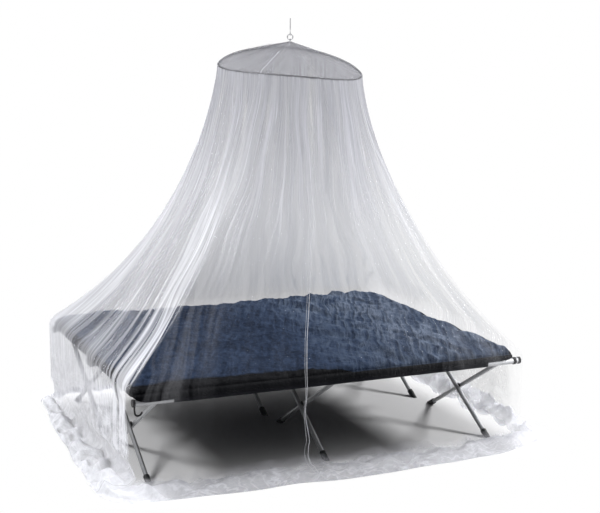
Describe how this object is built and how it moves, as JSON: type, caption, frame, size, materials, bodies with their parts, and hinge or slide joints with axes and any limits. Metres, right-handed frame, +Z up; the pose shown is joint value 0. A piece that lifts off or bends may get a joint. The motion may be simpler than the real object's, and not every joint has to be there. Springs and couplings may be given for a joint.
{
  "type": "mosquito net canopy with hoop and hanging ring over double camp bed with cover",
  "caption": "Round hoop-topped bed net hung from a hook, draped over two folding camp cots with a filled cover, its hem lying on the floor.",
  "frame": {"origin": "on the floor, in the middle of the box round the whole thing", "axes": "+X along the cots towards their right end as the picture shows it, -Y the front long side, +Z up"},
  "size_m": [2.3859, 1.9584, 2.043],
  "materials": {
    "net_cloth": "fine open net, bluish white, see-through",
    "net_tape": "narrow woven tape",
    "hoop_steel": "plain drawn wire, dull",
    "hook_steel": "bright drawn wire",
    "cover_cloth": "puffy navy woven cover, soft sheen",
    "canvas_cloth": "dense black woven canvas, matt",
    "cot_tube": "satin drawn tube",
    "black_plastic": "moulded, matt"
  },
  "bodies": {
    "root": {"net_body": "net_cloth", "net_crown": "net_cloth", "hoop": "hoop_steel", "hang_ring": "hook_steel", "ring_tab": "net_tape", "hang_hook": "hook_steel", "cover": "cover_cloth", "cot_1_canvas": "canvas_cloth", "cot_1_rail_front": "cot_tube", "cot_1_cap_front_left": "black_plastic", "cot_1_cap_front_right": "black_plastic", "cot_1_rail_rear": "cot_tube", "cot_1_cap_rear_left": "black_plastic", "cot_1_cap_rear_right": "black_plastic", "cot_1_left_leg_front": "cot_tube", "cot_1_left_ferrule_front": "black_plastic", "cot_1_left_leg_rear": "cot_tube", "cot_1_left_ferrule_rear": "black_plastic", "cot_1_left_hub": "black_plastic", "cot_1_middle_leg_front": "cot_tube", "cot_1_middle_ferrule_front": "black_plastic", "cot_1_middle_leg_rear": "cot_tube", "cot_1_middle_ferrule_rear": "black_plastic", "cot_1_middle_hub": "black_plastic", "cot_1_right_leg_front": "cot_tube", "cot_1_right_ferrule_front": "black_plastic", "cot_1_right_leg_rear": "cot_tube", "cot_1_right_ferrule_rear": "black_plastic", "cot_1_right_hub": "black_plastic", "cot_2_canvas": "canvas_cloth", "cot_2_rail_front": "cot_tube", "cot_2_cap_front_left": "black_plastic", "cot_2_cap_front_right": "black_plastic", "cot_2_rail_rear": "cot_tube", "cot_2_cap_rear_left": "black_plastic", "cot_2_cap_rear_right": "black_plastic", "cot_2_left_leg_front": "cot_tube", "cot_2_left_ferrule_front": "black_plastic", "cot_2_left_leg_rear": "cot_tube", "cot_2_left_ferrule_rear": "black_plastic", "cot_2_left_hub": "black_plastic", "cot_2_middle_leg_front": "cot_tube", "cot_2_middle_ferrule_front": "black_plastic", "cot_2_middle_leg_rear": "cot_tube", "cot_2_middle_ferrule_rear": "black_plastic", "cot_2_middle_hub": "black_plastic", "cot_2_right_leg_front": "cot_tube", "cot_2_right_ferrule_front": "black_plastic", "cot_2_right_leg_rear": "cot_tube", "cot_2_right_ferrule_rear": "black_plastic", "cot_2_right_hub": "black_plastic"}
  },
  "joints": []
}
